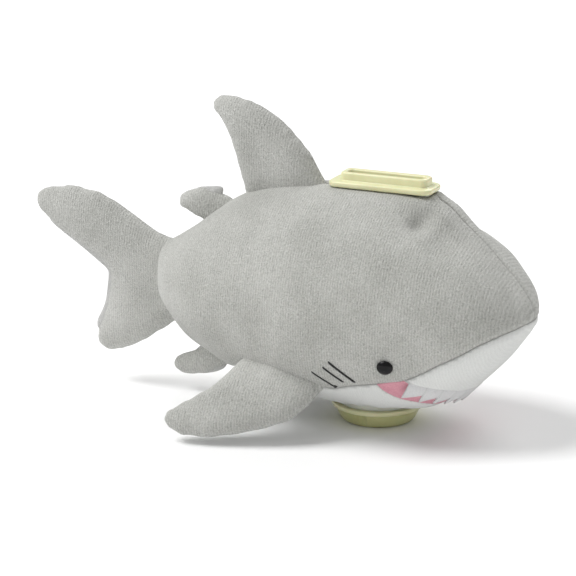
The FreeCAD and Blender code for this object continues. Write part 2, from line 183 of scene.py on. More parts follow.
def piece(obj, body, slot, *nodes):
    """Make a finished object ride on a body in place of its CAD nodes."""
    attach(obj, body)
    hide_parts(*nodes)
    return obj


# --- Materials ----------------------------------------------------------------------------
class Shader:
    """A procedural material being put together."""

    def __init__(self, name, roughness, **constants):
        self.material = bpy.data.materials.new(name)
        self.material.use_nodes = True
        self.nodes = self.material.node_tree.nodes
        self.links = self.material.node_tree.links
        self.surface = self.nodes["Principled BSDF"]
        self.surface.inputs["Roughness"].default_value = roughness
        for socket, value in constants.items():
            self.surface.inputs[socket.replace("_", " ")].default_value = value
        self.place = self.nodes.new("ShaderNodeTexCoord").outputs["Object"]

    def noise(self, feature, detail=3.0, stretch=None, distortion=0.0):
        """Return noise whose lumps are about feature millimetres across."""
        node = self.nodes.new("ShaderNodeTexNoise")
        node.inputs["Scale"].default_value = 1 / (feature * MM)
        node.inputs["Detail"].default_value = detail
        node.inputs["Distortion"].default_value = distortion
        self.links.new(self.stretched(stretch), node.inputs["Vector"])
        return node.outputs["Fac"]

    def stretched(self, stretch):
        """Return the object's coordinates, scaled along each axis."""
        if stretch is None:
            return self.place
        node = self.nodes.new("ShaderNodeMapping")
        node.inputs["Scale"].default_value = stretch
        self.links.new(self.place, node.inputs["Vector"])
        return node.outputs["Vector"]

    def bands(self, period, direction, distortion=2.0, detail_scale=1.0):
        """Return bands that repeat every period millimetres."""
        node = self.nodes.new("ShaderNodeTexWave")
        node.bands_direction = direction
        node.inputs["Scale"].default_value = 0.314 / (period * MM)
        node.inputs["Distortion"].default_value = distortion
        node.inputs["Detail"].default_value = 2.0
        node.inputs["Detail Scale"].default_value = detail_scale
        self.links.new(self.place, node.inputs["Vector"])
        return node.outputs["Fac"]

    def ramp(self, value, low, high, start=0.3, end=0.7):
        """Return a colour that runs from low to high as the value rises."""
        node = self.nodes.new("ShaderNodeValToRGB")
        node.color_ramp.elements[0].position = start
        node.color_ramp.elements[1].position = end
        node.color_ramp.elements[0].color = (*low, 1)
        node.color_ramp.elements[1].color = (*high, 1)
        self.links.new(value, node.inputs["Fac"])
        return node.outputs["Color"]

    def mix(self, share, first, second, mode="MIX"):
        """Return two colours mixed. The share is a socket or a number."""
        node = self.nodes.new("ShaderNodeMix")
        node.data_type = "RGBA"
        node.blend_type = mode
        if isinstance(share, (int, float)):
            node.inputs[0].default_value = share
        else:
            self.links.new(share, node.inputs[0])
        for index, value in ((6, first), (7, second)):
            if isinstance(value, tuple):
                node.inputs[index].default_value = (*value, 1)
            else:
                self.links.new(value, node.inputs[index])
        return node.outputs[2]

    def math(self, operation, first, second):
        """Return the result of arithmetic on sockets or numbers."""
        node = self.nodes.new("ShaderNodeMath")
        node.operation = operation
        for index, value in enumerate((first, second)):
            if isinstance(value, (int, float)):
                node.inputs[index].default_value = value
            else:
                self.links.new(value, node.inputs[index])
        return node.outputs[0]

    def stored(self, name):
        """Return a number stored on the mesh."""
        node = self.nodes.new("ShaderNodeAttribute")
        node.attribute_name = name
        return node.outputs["Fac"]

    def color(self, socket):
        """Set the surface's colour."""
        self.links.new(socket, self.surface.inputs["Base Color"])

    def relief(self, height, depth, strength=1.0):
        """Add surface relief of about depth millimetres."""
        node = self.nodes.new("ShaderNodeBump")
        node.inputs["Strength"].default_value = strength
        node.inputs["Distance"].default_value = depth * MM
        self.links.new(height, node.inputs["Height"])
        self.links.new(node.outputs["Normal"], self.surface.inputs["Normal"])


def plush(name, dark, light, pile=0.75, wale=1.35, depth=0.5):
    """Short-pile plush: mottled tufts in faint rows, with a soft sheen and painted shade along the seams."""
    shader = Shader(name, 0.95, Sheen_Weight=0.35, Sheen_Roughness=0.45, Specular_IOR_Level=0.15)
    tufts = shader.noise(pile, 2.0, distortion=0.6)
    strands = shader.noise(pile * 0.45, 2.0)
    rows = shader.bands(wale, "X", 3.0, 1.4)
    patches = shader.noise(26, 3.0)
    height = shader.math("ADD", tufts, shader.math("MULTIPLY", strands, 0.5))
    height = shader.math("ADD", height, shader.math("MULTIPLY", rows, 0.16))
    tone = shader.math("ADD", shader.math("MULTIPLY", height, 0.55), shader.math("MULTIPLY", patches, 0.28))
    color = shader.ramp(tone, dark, light, 0.36, 0.78)
    # Painted shade: the colour is darkened where the stored seam value is high, in place of the shadow in the seam
    # crease.
    shade = shader.ramp(shader.stored("seam"), (1, 1, 1), (0.52, 0.51, 0.50), 0.05, 1.0)
    shader.color(shader.mix(1.0, color, shade, "MULTIPLY"))
    shader.relief(height, depth)
    return shader.material


def felt(name, dark, light, sheen=0.2):
    """Pressed felt or brushed lining: short random fibres."""
    shader = Shader(name, 0.9, Sheen_Weight=sheen, Sheen_Roughness=0.5, Specular_IOR_Level=0.2)
    fibres = shader.noise(0.5, 4.0, distortion=1.2)
    shader.color(shader.ramp(fibres, dark, light, 0.3, 0.7))
    shader.relief(fibres, 0.15)
    return shader.material


def moulded(name, dark, light, roughness=0.32, glow=0.12):
    """Moulded plastic: slight waviness, faint cloudiness and fine scuffs."""
    shader = Shader(name, roughness, Subsurface_Weight=glow, Subsurface_Scale=2 * MM, Coat_Weight=0.15,
                    Coat_Roughness=0.2)
    cloud = shader.noise(9, 2.0)
    scuffs = shader.noise(0.6, 3.0, stretch=(0.3, 1, 1))
    shader.color(shader.ramp(cloud, dark, light))
    shader.relief(shader.math("ADD", shader.math("MULTIPLY", scuffs, 0.15), cloud), 0.06)
    return shader.material


def thread(name):
    """Twisted embroidery thread."""
    shader = Shader(name, 0.6, Sheen_Weight=0.2)
    ply = shader.bands(0.5, "DIAGONAL", 1.0)
    shader.color(shader.ramp(ply, (0.004, 0.004, 0.004), (0.022, 0.022, 0.022), 0.2, 0.8))
    shader.relief(ply, 0.12)
    return shader.material


def polished(name):
    """Black polished plastic of the eyes."""
    shader = Shader(name, 0.13, Specular_IOR_Level=0.22)
    shader.color(shader.ramp(shader.noise(1.5), (0.0035, 0.0035, 0.0035), (0.006, 0.006, 0.0065)))
    return shader.material


def fibre(name):
    """Loose polyester stuffing."""
    shader = Shader(name, 0.9, Sheen_Weight=0.4)
    strands = shader.noise(1.2, 5.0, distortion=4.0)
    shader.color(shader.ramp(strands, (0.55, 0.55, 0.53), (0.86, 0.86, 0.84)))
    shader.relief(strands, 1.0)
    return shader.material


GREY = plush("grey_plush", (0.31, 0.315, 0.285), (0.72, 0.72, 0.685), depth=0.8)
FIN_GREY = plush("fin_plush", (0.32, 0.325, 0.298), (0.73, 0.73, 0.695), depth=0.8)
WHITE = plush("white_plush", (0.64, 0.65, 0.63), (0.80, 0.81, 0.79), pile=0.5, depth=0.25)
PINK = felt("pink_lining", (0.60, 0.255, 0.315), (0.78, 0.40, 0.46))
TOOTH_FELT = felt("tooth_felt", (0.60, 0.60, 0.60), (0.72, 0.72, 0.72))
YELLOW = moulded("yellow_plastic", (0.70, 0.69, 0.40), (0.78, 0.77, 0.48))
YELLOW_GREEN = moulded("cap_plastic", (0.52, 0.52, 0.23), (0.60, 0.60, 0.30))
BOX_PLASTIC = moulded("box_plastic", (0.70, 0.70, 0.62), (0.80, 0.80, 0.73), 0.45)
NATURAL = moulded("washer_plastic", (0.62, 0.62, 0.58), (0.74, 0.74, 0.70), 0.5)
SEAL = felt("seal_rubber", (0.28, 0.28, 0.26), (0.36, 0.36, 0.34), 0.0)
BLACK = polished("eye_plastic")
THREAD = thread("black_thread")
FILL = fibre("polyester_fill")


# --- Body skin ----------------------------------------------------------------------------
def tree_of(objects):
    """Return a search tree, in millimetres, over the objects' surfaces."""
    points, faces = [], []
    for obj in objects:
        start = len(points)
        points.extend(Vector(p) for p in points_of(obj))
        faces.extend([start + i for i in polygon.vertices] for polygon in obj.data.polygons)
    return BVHTree.FromPolygons(points, faces)


def blurred(field, sigma, axis, wrap):
    """Return a 2-D field smoothed along one axis."""
    reach = int(3 * sigma + 1)
    kernel = bump(np.arange(-reach, reach + 1), sigma * 1.414)
    kernel /= kernel.sum()
    pad = [(0, 0), (0, 0)]
    pad[axis] = (reach, reach)
    ends = {"mode": "wrap"} if wrap else {"mode": "reflect", "reflect_type": "odd"}
    padded = np.pad(field, pad, **ends)
    return np.apply_along_axis(lambda line: np.convolve(line, kernel, mode="valid"), axis, padded)


class BodySurface:
    """The body's outer skin as distances from its long axis, measured on the CAD covers."""

    def __init__(self):
        tree = tree_of(frame["nodes"][name] for name in COVER_NODES)
        low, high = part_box("body_cover_left")
        start, end = low.x / MM + 0.4, high.x / MM - 0.4
        share = (1 - np.cos(np.linspace(0, math.pi, RINGS))) / 2
        self.x = start + (end - start) * (0.55 * share + 0.45 * np.linspace(0, 1, RINGS))
        self.angle = np.linspace(0, 2 * math.pi, SPOKES, endpoint=False)
        reach = 150.0
        radius = np.full((RINGS, SPOKES), np.nan)
        for i, x in enumerate(self.x):
            for j, angle in enumerate(self.angle):
                out = Vector((0, math.cos(angle), math.sin(angle)))
                axis_point = Vector((x, 0, AXIS_Z))
                hit = tree.ray_cast(axis_point + out * reach, -out, reach)
                if hit[0] is not None:
                    radius[i, j] = reach - hit[3]
            found = np.flatnonzero(~np.isnan(radius[i]))
            radius[i] = np.interp(np.arange(SPOKES), found, radius[i][found], period=SPOKES)
        radius = blurred(blurred(radius, 1.6, 0, False), 1.4, 1, True)
        self.radius = radius

    def point(self, x, angle):
        """Return skin points at x and angle round the axis."""
        row = np.interp(x, self.x, np.arange(RINGS))
        column = np.mod(angle, 2 * math.pi) / (2 * math.pi) * SPOKES
        i = np.clip(row.astype(int), 0, RINGS - 2)
        j = column.astype(int) % SPOKES
        u, v = row - i, column - column.astype(int)
        k = (j + 1) % SPOKES
        r = self.radius
        radius = (r[i, j] * (1 - u) + r[i + 1, j] * u) * (1 - v) + (r[i, k] * (1 - u) + r[i + 1, k] * u) * v
        return np.stack([x, radius * np.cos(angle), AXIS_Z + radius * np.sin(angle)], -1)

    def normal(self, x, angle):
        """Return the outward normals at x and angle round the axis."""
        along = self.point(x + 0.6, angle) - self.point(x - 0.6, angle)
        around = self.point(x, angle + 0.02) - self.point(x, angle - 0.02)
        normals = np.cross(around, along)
        return normals / np.linalg.norm(normals, axis=1, keepdims=True)


def sculpt(points, normals):
    """Return the points with the head's ridge, the plate's folds and rise, and the pleats at the cap."""
    x, y, z = points.T
    side = np.abs(y)
    top = np.clip((z - 75) / 20, 0, 1)
    nose = np.clip((x - 62) / 8, 0, 1) * np.clip((z - 62) / 6, 0, 1)
    head = np.clip((x - 30) / 14, 0, 1) * top + nose * (1 - top)
    push = 1.5 * np.exp(-side / 7) * head
    push -= 3.6 * bump(span_distance(points, (31, -12, 112), (15, -31, 92)), 4.6)
    push += 1.2 * bump(span_distance(points, (37, -14, 108), (31, -24, 100)), 4.2)
    push -= 1.2 * bump(span_distance(points, (30, 11, 112), (24, 22, 102)), 4.5)
    push += 0.55 * wobble(points, 34, 1) + 0.22 * wobble(points, 13, 2)
    beyond = np.hypot(np.clip(-20 - x, 0, None) + 0.3 * np.clip(x - 28, 0, None), np.clip(side - 8, 0, None))
    wanted = 119.5 - 0.52 * np.clip(x - 29, 0, None)
    fading = np.clip((62 - x) / 30, 0, 1)
    fading = fading ** 2 * (3 - 2 * fading) * np.clip((z - 84) / 14, 0, 1)
    push += np.clip(wanted - z, 0, 9) * bump(beyond, 7) * fading
    push += 2.7 * bump(x - 53, 11) * top * np.exp(-side / 30)
    pleats = np.cos(17 * np.arctan2(y, x) + 2.2 * np.sin(3 * np.arctan2(y, x)))
    low = np.clip((34 - z) / 12, 0, 1)
    push += 0.35 * pleats * bump(np.hypot(x, y) - 24, 6) * low
    return points + normals * push[:, None]


def ring_mesh(surface):
    """Return the closed body skin as an object, before it is cut into panels."""
    rings = [surface.point(np.full(SPOKES, x), surface.angle) for x in surface.x]
    for end, outward, cap in ((0, -1, 3), (-1, 1, 5)):
        centre = np.array((surface.x[end], 0, AXIS_Z - (0.5 if end else -0.5)))
        rim = rings[end]
        length = 1.6 if end else 2.0
        closing = []
        for step in range(1, cap + 1):
            turn = math.pi / 2 * step / (cap + 0.6)
            shrunk = centre + (rim - centre) * math.cos(turn)
            shrunk[:, 0] += outward * length * math.sin(turn)
            closing.append(shrunk)
        rings = rings + closing if end else closing[::-1] + rings
    points = np.concatenate(rings)
    faces = []
    for i in range(len(rings) - 1):
        for j in range(SPOKES):
            k = (j + 1) % SPOKES
            faces.append((i * SPOKES + j, i * SPOKES + k, (i + 1) * SPOKES + k, (i + 1) * SPOKES + j))
    faces.append(tuple(reversed(range(SPOKES))))
    last = (len(rings) - 1) * SPOKES
    faces.append(tuple(last + j for j in range(SPOKES)))
    return mesh_object("body_skin", points, faces)


def cut_along(mesh, level, region=None):
    """Cut a bmesh where the level changes sign, so that a seam follows mesh edges."""
    near = 0.22
    value = {v: level(v.co) for v in mesh.verts}
    for edge in list(mesh.edges):
        a, b = edge.verts
        if value[a] * value[b] >= 0 or (region and not region((a.co + b.co) / 2)):
            continue
        t = value[a] / (value[a] - value[b])
        if near < t < 1 - near:
            vert = bmesh.utils.edge_split(edge, a, t)[1]
            value[vert] = 0.0
        else:
            snapped = a if t <= near else b
            snapped.co = a.co.lerp(b.co, t)
            value[snapped] = 0.0
    for face in list(mesh.faces):
        on_seam = [v for v in face.verts if value[v] == 0.0]
        if len(on_seam) != 2:
            continue
        a, b = on_seam
        if not any(b in edge.verts for edge in a.link_edges):
            bmesh.utils.face_split(face, a, b)


def line_level(points):
    """Return a level that is above zero over a side-view line."""
    xs = np.linspace(points[0][0], points[-1][0], 1200)
    zs = smooth_line(points, xs)
    return lambda co: co.z / MM - float(np.interp(co.x / MM, xs, zs))


def rounded_level(centre, half_size, corner):
    """Return a level that is above zero outside an upright rounded block."""
    def level(co):
        u = abs(co.x / MM - centre[0]) - half_size[0] + corner
        v = abs(co.y / MM - centre[1]) - half_size[1] + corner
        return math.hypot(max(u, 0), max(v, 0)) + min(max(u, v), 0) - corner
    return level


def split_panels(skin):
    """Cut the skin along its seams and holes. Return {name: object} for its panels."""
    mesh = bmesh.new()
    mesh.from_mesh(skin.data)
    seam = line_level(BELLY_SEAM)
    upper = line_level(UPPER_LIP)
    lower = line_level(LOWER_LIP)
    plate_low, plate_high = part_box("slot_plate")
    slot_centre = ((plate_low.x + plate_high.x) / 2 / MM, 0)
    chute = rounded_level(slot_centre, (23.6, 6.1), 3)
    neck = rounded_level((0, 0), (20.9, 20.9), 20.9)
    cut_along(mesh, lambda co: co.y / MM)
    cut_along(mesh, seam)
    cut_along(mesh, upper, lambda co: seam(co) < 1.5)
    cut_along(mesh, lower, lambda co: seam(co) < 1.5)
    cut_along(mesh, chute, lambda co: co.z / MM > 95)
    cut_along(mesh, neck, lambda co: co.z / MM < 25)
    kinds = {"skin_right": [], "skin_left": [], "skin_snout": [], "skin_mouth": [], "skin_belly": []}
    for face in mesh.faces:
        middle = face.calc_center_median()
        if (middle.z / MM > 95 and chute(middle) < 0) or (middle.z / MM < 25 and neck(middle) < 0):
            continue
        if seam(middle) > 0:
            kinds["skin_left" if middle.y > 0 else "skin_right"].append(face)
        elif upper(middle) > 0:
            kinds["skin_snout"].append(face)
        elif lower(middle) > 0:
            kinds["skin_mouth"].append(face)
        else:
            kinds["skin_belly"].append(face)
    panels = {}
    for name, faces in kinds.items():
        verts = sorted({v for f in faces for v in f.verts}, key=lambda v: tuple(v.co))
        number = {v: i for i, v in enumerate(verts)}
        points = [np.array(v.co) / MM for v in verts]
        panels[name] = mesh_object(name, points, [[number[v] for v in f.verts] for f in faces])
    mesh.free()
    bpy.data.objects.remove(skin)
    return panels


def edge_distance(panel, ignore):
    """Return each vertex's distance, in millimetres, to the panel's sewn edges."""
    mesh = bmesh.new()
    mesh.from_mesh(panel.data)
    rim = [v.co / MM for v in mesh.verts if v.is_boundary and not ignore(v.co / MM)]
    mesh.free()
    tree = KDTree(len(rim))
    for i, co in enumerate(rim):
        tree.insert(co, i)
    tree.balance()
    return np.array([tree.find(Vector(p))[2] for p in points_of(panel)])


def finish_panel(panel, seam_depth, recess=0.0):
    """Pull a panel in along its seams, store the painted seam shade and give it thickness."""
    def hole(co):
        near_neck = co.z < 25 and math.hypot(co.x, co.y) < 22.5
        near_chute = co.z > 95 and abs(co.y) < 8 and -24 < co.x < 31
        return near_neck or near_chute
    distance = edge_distance(panel, hole)
    points = points_of(panel)
    normals = normals_of(panel)
    push = -seam_depth * bump(distance, 1.5) + 0.25 * seam_depth * bump(distance - 3.2, 1.6)
    push -= recess * np.clip(distance / 2.2, 0, 1) ** 0.5
    set_points(panel, points + normals * push[:, None])
    # Painted shade: this value darkens the plush along the sewn edges, in place of the shadow in the crease.
    attribute(panel, "seam", 0.45 * bump(distance, 0.8))
    return thicken(panel, SKIN)


def body_skin():
    """Build the sewn skin from the CAD body. Return its surface for the pieces that sit on it."""
    surface = BodySurface()
    skin = ring_mesh(surface)
    set_points(skin, sculpt(points_of(skin), normals_of(skin)))
    panels = split_panels(skin)
    details = {
        "skin_right": ("body_cover_right", "grey_plush", GREY, 0.8, 0.0),
        "skin_left": ("body_cover_left", "grey_plush", GREY, 0.8, 0.0),
        "skin_snout": ("snout_cover", "white_plush", WHITE, 0.6, 0.0),
        "skin_belly": ("belly_cover", "white_plush", WHITE, 0.6, 0.0),
        "skin_mouth": ("mouth_lining", "pink_felt", PINK, 0.3, 1.7),
    }
    for name, (node, slot, material, depth, recess) in details.items():
        panel = finish_panel(panels[name], depth, recess)
        panel.data.materials.append(material)
        piece(panel, "body", slot, node)
    return surface, list(panels.values())


# --- Fins ---------------------------------------------------------------------------------
# Each outline runs from inside the body, round the fin's free edge and back into the body.
DORSAL = [(-21, 112), (-30.5, 122), (-38, 134.5), (-47, 144.5), (-58, 153), (-69, 158), (-76.5, 160),
          (-84, 160.5), (-89.5, 159), (-92, 156), (-90.5, 151), (-86.5, 147), (-83.5, 140), (-80, 132),
          (-77.5, 123), (-75, 114.5), (-72, 104)]
REAR_DORSAL = [(-70, 100), (-80.5, 106.8), (-88, 109.6), (-95.5, 111), (-102, 110.6), (-109, 107.5),
               (-112, 103.5), (-111, 98.5), (-104.5, 95.5), (-98, 92.5), (-88, 87)]
ANAL = [(-88, 33), (-100.5, 24.3), (-109, 21), (-114, 18), (-116.7, 14), (-115, 9.5), (-106.5, 7.9),
        (-96.5, 9.6), (-83, 16.5), (-72, 26)]
TAIL = [(-103, 79), (-116.5, 82.8), (-125, 85), (-138, 92.7), (-148, 98.5), (-157.5, 102.7), (-170, 104.7),
        (-183.5, 104), (-192.5, 101.6), (-196, 97), (-195, 90.5), (-187, 83.5), (-178, 77), (-158.5, 65.4),
        (-154, 60.5), (-152.6, 55), (-155.6, 39.5), (-158.8, 31), (-161.3, 24), (-160, 18), (-153.7, 14.7),
        (-143, 17.3), (-133.5, 22), (-114, 35.3), (-101, 44)]
PECTORAL = [(2, -3), (3, 3), (6, 8.5), (9.5, 14), (14, 21), (29, 31.8), (46, 40.4), (58, 44), (67, 44.3),
            (74, 41.5), (76, 37), (73.5, 32), (69.4, 27.6), (64, 21.6), (57.5, 13), (53, 5), (50, -1)]
PECTORAL_FRONT = (-7.0, -43.0, 25.7)
PECTORAL_REAR = (-46.0, -47.0, 33.5)
PECTORAL_TIP = (-80.0, -75.0, 9.3)
SEAM_GROWTH = 0.9          # how far the cut edge stands outside the outline
CLOTH_FRAMES = 24
CLOTH = {"quality": 5, "mass": 0.4, "tension_stiffness": 18, "compression_stiffness": 18,
         "shear_stiffness": 9, "bending_stiffness": 0.5, "use_pressure": True,
         "uniform_pressure_force": 3.0, "vertex_group_mass": "held"}
IN_PLANE_SHARE = 0.25      # share of the cloth's motion in the fin's own plane that is kept


class Fin:
    """A sewn fin: its plane, outline, half thickness and edge roundness, in millimetres."""

    def __init__(self, body, outline, half_thickness, edge, axes=None, origin=(0, 0, 0)):
        self.body = body
        self.outline = outline
        self.half_thickness = half_thickness
        self.edge = edge
        self.axes = np.array(axes if axes is not None else ((1, 0, 0), (0, 1, 0), (0, 0, 1)), float)
        self.origin = np.array(origin, float)

    def world(self, points):
        """Return points from the fin's own frame in the model's."""
        return np.asarray(points) @ self.axes + self.origin


def pectoral_axes():
    """Return the right pectoral's axes: along its root, across it and out from the body."""
    front, rear, tip = (np.array(p) for p in (PECTORAL_FRONT, PECTORAL_REAR, PECTORAL_TIP))
    along = (rear - front) / np.linalg.norm(rear - front)
    across = np.cross(tip - front, along)
    across /= np.linalg.norm(across)
    return along, across, np.cross(along, across)


def eased(points, step):
    """Return an open line of points about step apart along a smooth curve through the points."""
    points = np.array(points, float)
    ends = np.concatenate([[2 * points[0] - points[1]], points, [2 * points[-1] - points[-2]]])
    curve = []
    for a, b, c, d in zip(ends, ends[1:], ends[2:], ends[3:]):
        for t in np.linspace(0, 1, 24, endpoint=False):
            curve.append(0.5 * (2 * b + (c - a) * t + (2 * a - 5 * b + 4 * c - d) * t ** 2
                                + (3 * b - a - 3 * c + d) * t ** 3))
    curve = np.array(curve + [points[-1]])
    length = np.concatenate([[0], np.cumsum(np.linalg.norm(np.diff(curve, axis=0), axis=1))])
    at = np.linspace(0, length[-1], int(length[-1] / step) + 1)
    return np.stack([np.interp(at, length, curve[:, k]) for k in (0, 1)], -1)


def grown(line, amount):
    """Return an open outline moved outwards, to make up for what sewing and smoothing take in."""
    run = np.gradient(line, axis=0)
    side = np.stack([run[:, 1], -run[:, 0]], -1)
    side /= np.linalg.norm(side, axis=1, keepdims=True)
    turn = np.sum(line[:-1, 0] * line[1:, 1] - line[1:, 0] * line[:-1, 1])
    turn += line[-1, 0] * line[0, 1] - line[0, 0] * line[-1, 1]
    return line + side * amount * np.sign(turn)


def inside(loop, points):
    """Return which points lie inside a closed outline."""
    x, z = points.T
    result = np.zeros(len(points), bool)
    for (x0, z0), (x1, z1) in zip(loop, np.roll(loop, -1, axis=0)):
        crosses = (z0 > z) != (z1 > z)
        rise = z1 - z0 if z1 != z0 else 1e-9
        result ^= crosses & (x < x0 + (x1 - x0) * (z - z0) / rise)
    return result


def distance_to(line, points):
    """Return each point's distance to an open line of points."""
    best = np.full(len(points), 1e9)
    for a, b in zip(line, line[1:]):
        run = b - a
        t = np.clip(((points - a) @ run) / max(run @ run, 1e-9), 0, 1)
        best = np.minimum(best, np.linalg.norm(points - a - t[:, None] * run, axis=1))
    return best


def pillow(name, fin, step=2.0):
    """Return a fin's two panels, joined round the free edge and open at the root, as one mesh."""
    free = grown(eased(fin.outline, step), SEAM_GROWTH)
    root = np.linspace(free[-1], free[0], int(np.linalg.norm(free[0] - free[-1]) / step) + 2)[1:-1]
    loop = np.concatenate([free, root])
    low, high = loop.min(0), loop.max(0)
    rows = np.arange(low[1], high[1], step * 0.87)
    grid = np.array([(x + (step / 2 if row % 2 else 0), z) for row, z in enumerate(rows)
                     for x in np.arange(low[0], high[0], step)])
    grid = grid[inside(loop, grid)]
    closed = np.concatenate([loop, loop[:1]])
    grid = grid[distance_to(closed, grid) > step * 0.6]
    edges = [(i, (i + 1) % len(loop)) for i in range(len(loop))]
    made = geometry.delaunay_2d_cdt([Vector(p) for p in np.concatenate([loop, grid])], edges, [], 1, 1e-5)
    flat = np.array([tuple(p) for p in made[0]])
    triangles = [tuple(reversed(t)) for t in made[2]]
    depth = distance_to(free, flat)
    rise = fin.half_thickness * np.sqrt(1 - (1 - np.clip(depth / fin.edge, 0, 1)) ** 2)
    rim = depth < 1e-3
    front = np.stack([flat[:, 0], rise, flat[:, 1]], -1)
    number = np.arange(len(flat))
    number[~rim] = len(flat) + np.arange((~rim).sum())
    points = np.concatenate([front, (front * (1, -1, 1))[~rim]])
    faces = triangles + [tuple(int(number[i]) for i in reversed(t)) for t in triangles]
    obj = mesh_object(name, points, faces)
    obj["sheet_faces"] = len(triangles)
    obj["free"] = [float(v) for v in free.ravel()]
    return obj


def set_cloth(obj, scale=10.0):
    """Add the cloth that fills a fin. The mesh is enlarged meanwhile, which steadies the solver."""
    start = points_of(obj)
    set_points(obj, start * scale)
    mesh = bmesh.new()
    mesh.from_mesh(obj.data)
    held = [vertex.index for vertex in mesh.verts if vertex.is_boundary]
    mesh.free()
    obj.vertex_groups.new(name="held").add(held, 1.0, "REPLACE")
    cloth = obj.modifiers.new("filling", "CLOTH")
    for name, value in CLOTH.items():
        setattr(cloth.settings, name, value)
    cloth.settings.effector_weights.gravity = 0
    cloth.point_cache.frame_start = 1
    cloth.point_cache.frame_end = CLOTH_FRAMES
    return start


def fill_fins(fins, scale=10.0, most=2.2):
    """Blow every fin up with one cloth simulation, holding each point within the given distance."""
    starts = {obj: set_cloth(obj, scale) for obj in fins}
    scene = bpy.context.scene
    for number in range(1, CLOTH_FRAMES + 1):
        scene.frame_set(number)
    for obj, start in starts.items():
        apply_modifiers(obj)
        moved = points_of(obj) / scale - start
        length = np.linalg.norm(moved, axis=1, keepdims=True)
        moved *= most * np.tanh(length / most) / np.maximum(length, 1e-6)
        moved[:, (0, 2)] *= IN_PLANE_SHARE
        set_points(obj, start + moved)
    scene.frame_set(1)


def relaxed(obj, rounds):
    """Even out an object's points a little, keeping its open edges."""
    mesh = bmesh.new()
    mesh.from_mesh(obj.data)
    free = [v for v in mesh.verts if not v.is_boundary]
    for _ in range(rounds):
        bmesh.ops.smooth_vert(mesh, verts=free, factor=0.5,
                              use_axis_x=True, use_axis_y=True, use_axis_z=True)
    mesh.to_mesh(obj.data)
    mesh.free()


def tuck_root(obj, fin, tree, start=4.0, end=8.0, depth=1.4):
    """Press the root of a fin that is sewn into a body seam under the body's skin."""
    local = points_of(obj)
    points = fin.world(local)
    for i, share in enumerate(np.clip((end - local[:, 2]) / (end - start), 0, 1)):
        if share == 0:
            continue
        place, normal = tree.find_nearest(Vector(points[i]))[:2]
        above = (Vector(points[i]) - place).dot(normal) + depth
        if above > 0:
            local[i] -= (fin.axes @ np.array(normal)) * above * share
    set_points(obj, local)


def fin_panels(obj, fin, mirror=False):
    """Return a filled fin's two panels in the model's frame, front side first."""
    relaxed(obj, 5)
    points = points_of(obj)
    free = np.array(obj["free"]).reshape(-1, 2)
    depth = distance_to(free, points[:, (0, 2)])
    # Painted shade: closeness to the sewn rim, used to darken the plush along the fin's seam crease.
    painted_rim_shade = bump(np.hypot(depth, points[:, 1]), 1.3)
    points = fin.world(points)
    count = obj["sheet_faces"]
    polygons = [tuple(p.vertices) for p in obj.data.polygons]
    panels = []
    for label, chosen in (("front", polygons[:count]), ("back", polygons[count:])):
        used = sorted({i for face in chosen for i in face})
        number = {old: new for new, old in enumerate(used)}
        faces = [tuple(number[i] for i in face) for face in chosen]
        own = points[used]
        if mirror:
            own = own * (1, -1, 1)
            faces = [tuple(reversed(face)) for face in faces]
        panel = mesh_object(obj.name + "_" + label, own, faces)
        facing_out(panel, fin, label, mirror)
        attribute(panel, "seam", 0.4 * painted_rim_shade[used])
        panels.append(subdivide(panel))
    return panels


def facing_out(panel, fin, label, mirror):
    """Turn a panel's faces so that they look away from the fin's middle plane."""
    outward = fin.axes[1] * (1 if label == "front" else -1) * ((1, -1, 1) if mirror else (1, 1, 1))
    average = normals_of(panel).mean(0)
    if average @ outward < 0:
        panel.data.flip_normals()


def fin_joint(body):
    """Return the joint that carries a fin's body."""
    return next(joint for joint in frame["joints"] if joint["child"] == body)


def finish_fin(panels, body, names, materials, slots, outward, sink, reach):
    """Thicken a fin's panels, colour them and hide the CAD nodes they replace."""
    pivot = np.array(fin_joint(body)["pos_m"]) / MM
    for panel, name, material, slot in zip(panels, names, materials, slots):
        thicken(panel, 0.9)
        panel.data.materials.append(material)
        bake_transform(panel)
        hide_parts(name)


def make_fins(tree):
    """Build the six fins. The left pectoral is the right one's mirror image."""
    along, across, out = pectoral_axes()
    fins = {
        "dorsal": Fin("dorsal_fin", DORSAL, 6.4, 9.5),
        "rear_dorsal": Fin("rear_dorsal_fin", REAR_DORSAL, 4.6, 7.5),
        "anal": Fin("anal_fin", ANAL, 4.6, 7.5),
        "tail": Fin("tail", TAIL, 6.2, 12),
        "pectoral_right": Fin("pectoral_right", PECTORAL, 5.2, 11, (along, across, out), PECTORAL_FRONT),
    }
    filled = {name: pillow(name, fin) for name, fin in fins.items()}
    fill_fins(list(filled.values()))
    tuck_root(filled["pectoral_right"], fins["pectoral_right"], tree)
    upright = {"dorsal": (-0.166, 0, 0.986), "rear_dorsal": (-0.573, 0, 0.820), "anal": (-0.449, 0, -0.894),
               "tail": (-1, 0, 0)}
    spans = {"dorsal": (9, 6), "rear_dorsal": (7, 4), "anal": (7, 4), "tail": (16, 9)}
    for name, direction in upright.items():
        panels = fin_panels(filled[name], fins[name])
        labels = [f"{name}_panel_left", f"{name}_panel_right"]
        finish_fin(panels, fins[name].body, labels, (FIN_GREY, FIN_GREY), ("grey_plush", "grey_plush"),
                   np.array(direction), *spans[name])
    for side, mirror in (("right", False), ("left", True)):
        panels = fin_panels(filled["pectoral_right"], fins["pectoral_right"], mirror)
        labels = [f"pectoral_{side}_panel_lower", f"pectoral_{side}_panel_upper"]
        finish_fin(panels, f"pectoral_{side}", labels, (WHITE, FIN_GREY), ("white_plush", "grey_plush"),
                   out * ((1, -1, 1) if mirror else (1, 1, 1)), 8, 5)
    for obj in filled.values():
        bpy.data.objects.remove(obj)


# --- Teeth, eyes and gills ----------------------------------------------------------------
TEETH = 12
TOOTH_BAND = 3.4
TOOTH_DEPTH = 8.2
TOOTH_TUCK = 2.8           # felt sewn in behind the lip
TOOTH_REAR_X = 33.0


